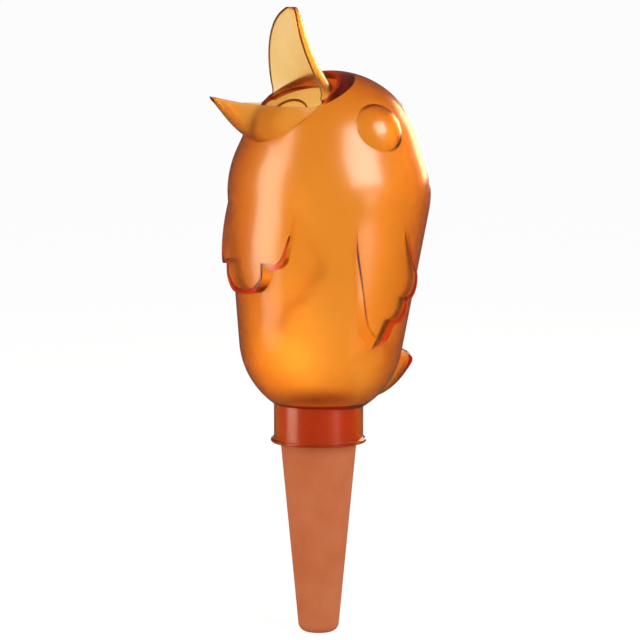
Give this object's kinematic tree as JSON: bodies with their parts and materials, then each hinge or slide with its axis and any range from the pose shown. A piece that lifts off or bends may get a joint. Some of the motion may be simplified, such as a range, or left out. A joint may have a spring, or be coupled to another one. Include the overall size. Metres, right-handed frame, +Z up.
{
  "type": "self watering spike",
  "caption": "Bird-shaped clear amber water reservoir, filled through its open beak, pushed onto a hollow porous clay cone that stands in the soil of a plant pot and lets the water seep out.",
  "frame": {"origin": "on the axis of the neck and the cone at the soil line, level with the underside of the neck's flange", "axes": "+Z up along the cone's axis, -Y the way the bird looks, +X the bird's left"},
  "size_m": [0.0856, 0.1023, 0.2651],
  "materials": {
    "amber_plastic": "glossy, see-through amber",
    "terracotta": "matt, porous, unglazed",
    "seal_rubber": "soft, matt"
  },
  "bodies": {
    "spike": {"clay_cone": "terracotta", "neck_seal": "seal_rubber"},
    "bird": {"bird_reservoir": "amber_plastic"}
  },
  "joints": [
    {"name": "bird_lift", "type": "slide", "parent": "spike", "child": "bird", "axis": [0, 0, 1], "range_m": [0, 0.03]}
  ]
}
